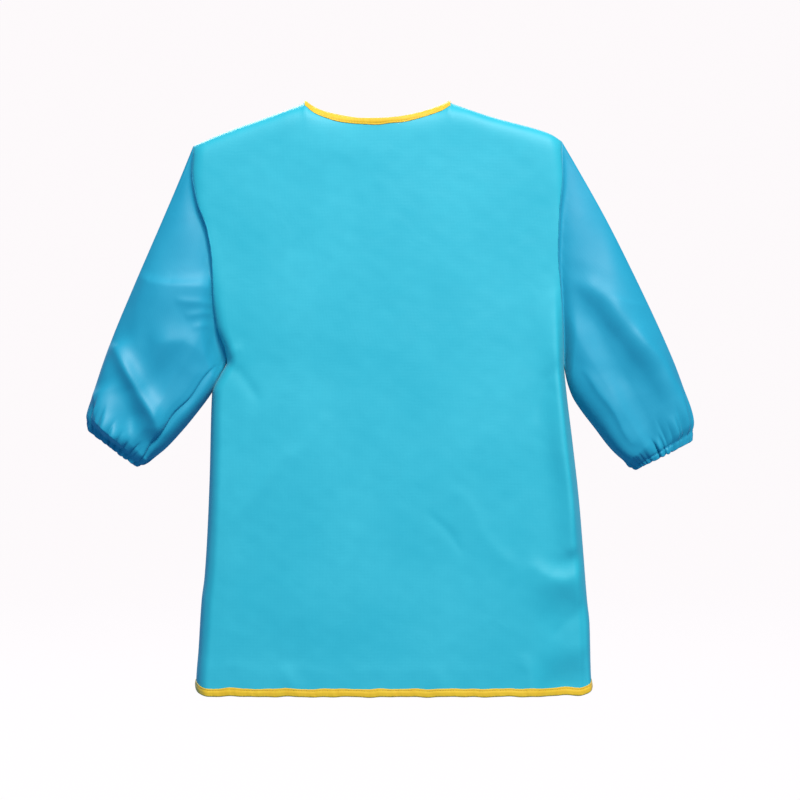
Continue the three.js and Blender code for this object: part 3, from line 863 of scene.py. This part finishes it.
def binding(name, surface, points, seed, leg, flip=False):
    """A tape along an edge, and its stitch line. surface(k, inset, lift) gives a point at the edge's k."""
    k = np.asarray(points, float)[:, None]
    inset, lift = np.array(tape_section(leg)).T[:, None, :]
    edge_steps = np.diff(surface(k, 0.0 * k, 0.0 * k)[:, 0], axis=0)
    length = np.r_[0, np.cumsum(np.linalg.norm(edge_steps, axis=1))]
    r = np.random.default_rng(seed)

    def uneven(count, shortest, longest):
        return sum(
            np.sin(length * 2 * np.pi / r.uniform(shortest, longest) + r.uniform(0, 6)) for _ in range(count)
        )[:, None]

    wobble, pucker = uneven(5, 14, 60), uneven(4, 6, 13)
    inset = inset + np.where(inset > leg - 3, 0.12, 0.0) * wobble
    lift = lift + np.sign(lift) * 0.05 * pucker * (inset > 0.5)
    past = np.minimum(inset, 0)
    edge = surface(k, np.zeros_like(inset), lift)
    out = unit(edge - surface(k, np.ones_like(inset), lift))
    p = surface(k, np.maximum(inset, 0), lift) - out * past[..., None]
    tape = cloth_sheet(name, p, BINDING_MATERIAL, thickness=0.3, flip=flip)
    seam = np.full_like(k, leg - 1.5)
    line = surface(k, seam, np.full_like(k, 0.68))[:, 0]
    base = surface(k, seam, np.zeros_like(k))[:, 0]
    return tape, line, line - base


def body_height(face, u):
    return top_line(face, u) - hem_line(u)


pieces_on = {"front": [], "back_right": [], "back_left": []}


def place_tape(tape, line, normals, key, nodes, body, fold=None):
    """Hangs a tape and its stitches on a body; with a fold given, it only bakes their placement and leaves
    them unhung.
    """
    thread_row = stitches(tape.name + "_stitches", line, normals, YELLOW_THREAD)
    for piece in (tape, thread_row):
        if fold is None:
            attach(piece, body)
        else:
            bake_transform(piece)
        pieces_on[key].append(piece)
    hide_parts(*nodes)


def front_neck(k, inset, lift):
    return body_surface(FRONT, k + 0 * inset, 1 - inset / body_height(FRONT, k), lift)


def front_hem(k, inset, lift):
    return body_surface(FRONT, k + 0 * inset, inset / body_height(FRONT, k), lift)


neck_u = np.sin(np.linspace(-1, 1, 150) * np.pi / 2) * NECK_SHARE
made = binding("neck_binding_front_tape", front_neck, neck_u, 61, NECK_LEG)
place_tape(*made, "front", ["neck_binding_front"], "torso")

hem_u = dense_columns(420) * TAPE_END
made = binding("hem_binding_front_tape", front_hem, hem_u, 62, HEM_LEG, flip=True)
place_tape(*made, "front", ["hem_binding_front"], "torso")

for name, side in SIDES.items():
    sign = side["sign"]
    body = f"back_{name}"
    fold = across_fold(sign)

    def back_hem(k, inset, lift, sign=sign):
        return back_surface(sign, k + 0 * inset, inset / PANEL_HEIGHT, lift)

    def back_neck(k, inset, lift, sign=sign):
        return back_surface(sign, k + 0 * inset, 1 - inset / PANEL_HEIGHT, lift)

    def back_edge(k, inset, lift, sign=sign):
        return back_surface(sign, inset / lerp(PANEL_WIDTH_HEM, PANEL_WIDTH_TOP, k), k + 0 * inset, lift)

    hem_t = lerp(0.036, TAPE_END, np.sin(np.linspace(0, 1, 240) * np.pi / 2))
    made = binding(f"hem_binding_back_{name}_tape", back_hem, hem_t, 63 + sign, HEM_LEG, flip=sign < 0)
    place_tape(*made, body, [f"hem_binding_back_{name}", f"hem_binding_flap_{name}"], body, fold)

    free_edge = column_at(1.0, -OVERLAP_HALF, sign) * sign
    neck_t = np.linspace(0.0, (NECK_SHARE * NECK_TAPE_END - free_edge) / (1 - free_edge), 110)
    made = binding(f"neck_binding_back_{name}_tape", back_neck, neck_t, 66 + sign, NECK_LEG, flip=sign > 0)
    place_tape(*made, body, [f"neck_binding_back_{name}"], body, fold)

    edge_v = lerp(0.0, 1 - BELOW_NECK / PANEL_HEIGHT, dense_rows(240))
    made = binding(f"back_edge_binding_{name}_tape", back_edge, edge_v, 69 + sign, EDGE_LEG, flip=sign < 0)
    place_tape(*made, body, [f"back_edge_binding_{name}"], body)

# ------------------------------------------------------------
# Hook and loop patches, elastic and label
# ------------------------------------------------------------

PATCHES = {"neck": -42.0, "back": -215.0}
PATCH_WIDTH, PATCH_HEIGHT, PATCH_THICK = 17.0, 30.0, 0.9


def patch_points(centre, sign, lift):
    """A rounded rectangle of points on the back, raised by lift."""
    s = np.linspace(-1, 1, 26)
    a, b = np.meshgrid(s, s, indexing="xy")
    corner = 1 - 0.06 * (np.abs(a) * np.abs(b)) ** 6
    x = a * corner * PATCH_WIDTH / 2
    z = centre + b * corner * PATCH_HEIGHT / 2
    vv = (z - HEM_Z) / (NECK_POINT_Z - HEM_Z)
    u = column_at(vv, x)
    return body_surface(BACK, u, vv, lift + flap_lift(sign, u))


def box_stitch(name, centre, sign, lift):
    """Stitches round a patch, as they show on the outside of the cloth."""
    inset = 1.6
    w, h = PATCH_WIDTH / 2 - inset, PATCH_HEIGHT / 2 - inset
    corners = [(-w, -h), (w, -h), (w, h), (-w, h), (-w, -h)]
    path = []
    for (x0, z0), (x1, z1) in zip(corners, corners[1:]):
        for f in np.linspace(0, 1, 20, endpoint=False):
            path.append((lerp(x0, x1, f), lerp(z0, z1, f)))
    path = np.array(path + [corners[0]])
    vv = (centre + path[:, 1] - HEM_Z) / (NECK_POINT_Z - HEM_Z)
    u = column_at(vv, path[:, 0])
    on = body_surface(BACK, u, vv, lift + flap_lift(sign, u))
    under = body_surface(BACK, u, vv, flap_lift(sign, u))
    return stitches(name, on, (on - under) * np.sign(lift), BLUE_THREAD)


STITCH_LIFT = 0.24
clear = 1.15  # between the middle of the cloth and the middle of a patch
for place, centre in PATCHES.items():
    for kind, sign, lift, material, body in (
        ("loop", 1, clear, LOOP_MATERIAL, "back_left"),
        ("hook", -1, -clear, HOOK_MATERIAL, "back_right"),
    ):
        p = patch_points(centre, sign, lift)
        patch = cloth_sheet(f"{kind}_patch_{place}_pad", p, material, thickness=PATCH_THICK, flip=True)
        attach(patch, body)
        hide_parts(f"{kind}_patch_{place}")
        outside = STITCH_LIFT if sign < 0 else -STITCH_LIFT
        row = box_stitch(f"{kind}_patch_{place}_stitches", centre, sign, outside)
        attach(row, body)
        pieces_on[body] += [patch, row]

CASING = (0.975, 0.995)  # shares of the sleeve between which the elastic lies, in the casing
for name, side in SIDES.items():
    angle = np.linspace(0, 2 * np.pi, 160, endpoint=False)
    share = np.linspace(*CASING, 9)
    p = sleeve_points(name, share[:, None], angle[None, :])
    hub = p.mean(axis=1, keepdims=True)
    p = p + (hub - p) * 0.06 + unit(hub - p) * 1.3
    band = cloth_sheet(
        f"cuff_elastic_{name}_band", p, ELASTIC_MATERIAL, thickness=0.9, closed=True, flip=side["sign"] < 0
    )
    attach(band, f"arm_{name}")
    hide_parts(f"cuff_elastic_{name}")
    ring = sleeve_points(name, STITCH_SHARE, np.linspace(0, 2 * np.pi, 400))
    hub = ring.mean(axis=0)
    row = stitches(f"cuff_{name}_stitches", ring + unit(ring - hub) * 0.3, ring - hub, BLUE_THREAD)
    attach(row, f"arm_{name}")
    pieces_on[f"sleeve_{name}"] = [band, row]

LABEL_Z, LABEL_HALF_HEIGHT, LABEL_WIDTH, LABEL_TUCK = -470, 19, 25, 3.5
s, w = np.meshgrid(np.linspace(0, 1, 24), np.linspace(-1, 1, 34), indexing="xy")
z = LABEL_Z + w * LABEL_HALF_HEIGHT
x = edge_of["left"](z) - LABEL_TUCK - s * LABEL_WIDTH
y = 1.6 * np.sin(s * 3.0) * (0.6 + 0.4 * np.sin(w * 2.1)) + 0.5 * s * w
label = cloth_sheet("care_label_tape", np.stack([x, y, z], -1), LABEL_MATERIAL, thickness=0.3)
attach(label, "torso")
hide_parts("care_label")

# ------------------------------------------------------------
# Stage, lights and camera
# ------------------------------------------------------------


def backdrop():
    """A round pale studio: a floor that curves up into a wall. It lends the cloth no light of its own."""
    floor_z, floor_radius, bend, wall_top = -0.86, 5.0, 2.5, 9.0
    profile = [(0.0, floor_z), (1.5, floor_z), (floor_radius, floor_z)]
    for a in np.linspace(0.1, math.pi / 2, 14):
        profile.append((floor_radius + bend * math.sin(a), floor_z + bend - bend * math.cos(a)))
    profile.append((floor_radius + bend, wall_top))
    radius, z = np.array(profile).T[:, :, None]
    turn = np.linspace(0, 2 * np.pi, 97)[None, :]
    p = np.stack(np.broadcast_arrays(radius * np.cos(turn), radius * np.sin(turn), z), -1) * 1000
    rows, cols = p.shape[:2]
    i, j = np.meshgrid(np.arange(rows - 1), np.arange(cols - 1), indexing="ij")
    a = (i * cols + j).ravel()
    quads = np.stack([a, a + 1, a + cols + 1, a + cols], -1)
    n = Nodes("backdrop_paper")
    n.set(
        Base_Color=(0.02, 0.02, 0.02, 1), Roughness=0.9, Specular_IOR_Level=0.1,
        Emission_Color=linear(254, 250, 251), Emission_Strength=0.985,
    )
    obj = new_object("backdrop", p.reshape(-1, 3), quads, n.material)
    weld(obj)
    obj.visible_diffuse = False
    obj.visible_glossy = False


def area_light(name, place, target, size, power):
    light = bpy.data.lights.new(name, "AREA")
    light.shape = "RECTANGLE"
    light.size, light.size_y = size
    light.energy = power
    obj = bpy.data.objects.new(name, light)
    scene.collection.objects.link(obj)
    obj.location = place
    obj.rotation_euler = (Vector(target) - Vector(place)).to_track_quat("-Z", "Y").to_euler()


backdrop()
MIDDLE = (0, 0, -0.3)
area_light("key", (0.85, -2.95, 2.7), MIDDLE, (1.5, 0.9), 214)
area_light("back_key", (-0.6, 3.3, 2.6), MIDDLE, (2.0, 1.2), 170)

world = bpy.data.worlds.new("studio")
world.use_nodes = True
sky = world.node_tree.nodes["Background"].inputs
sky["Color"].default_value = (0.22, 0.52, 1.0, 1)
sky["Strength"].default_value = 0.44
scene.world = world
scene.view_settings.view_transform = "Standard"

camera = bpy.data.cameras.new("camera")
camera.sensor_width = 36
camera.lens = 134
camera_object = bpy.data.objects.new("camera", camera)
scene.collection.objects.link(camera_object)
camera_object.location = (0.0242, -3.0, -0.3005)
camera_object.rotation_euler = (math.pi / 2, 0, 0)
camera.clip_end = 50
scene.camera = camera_object
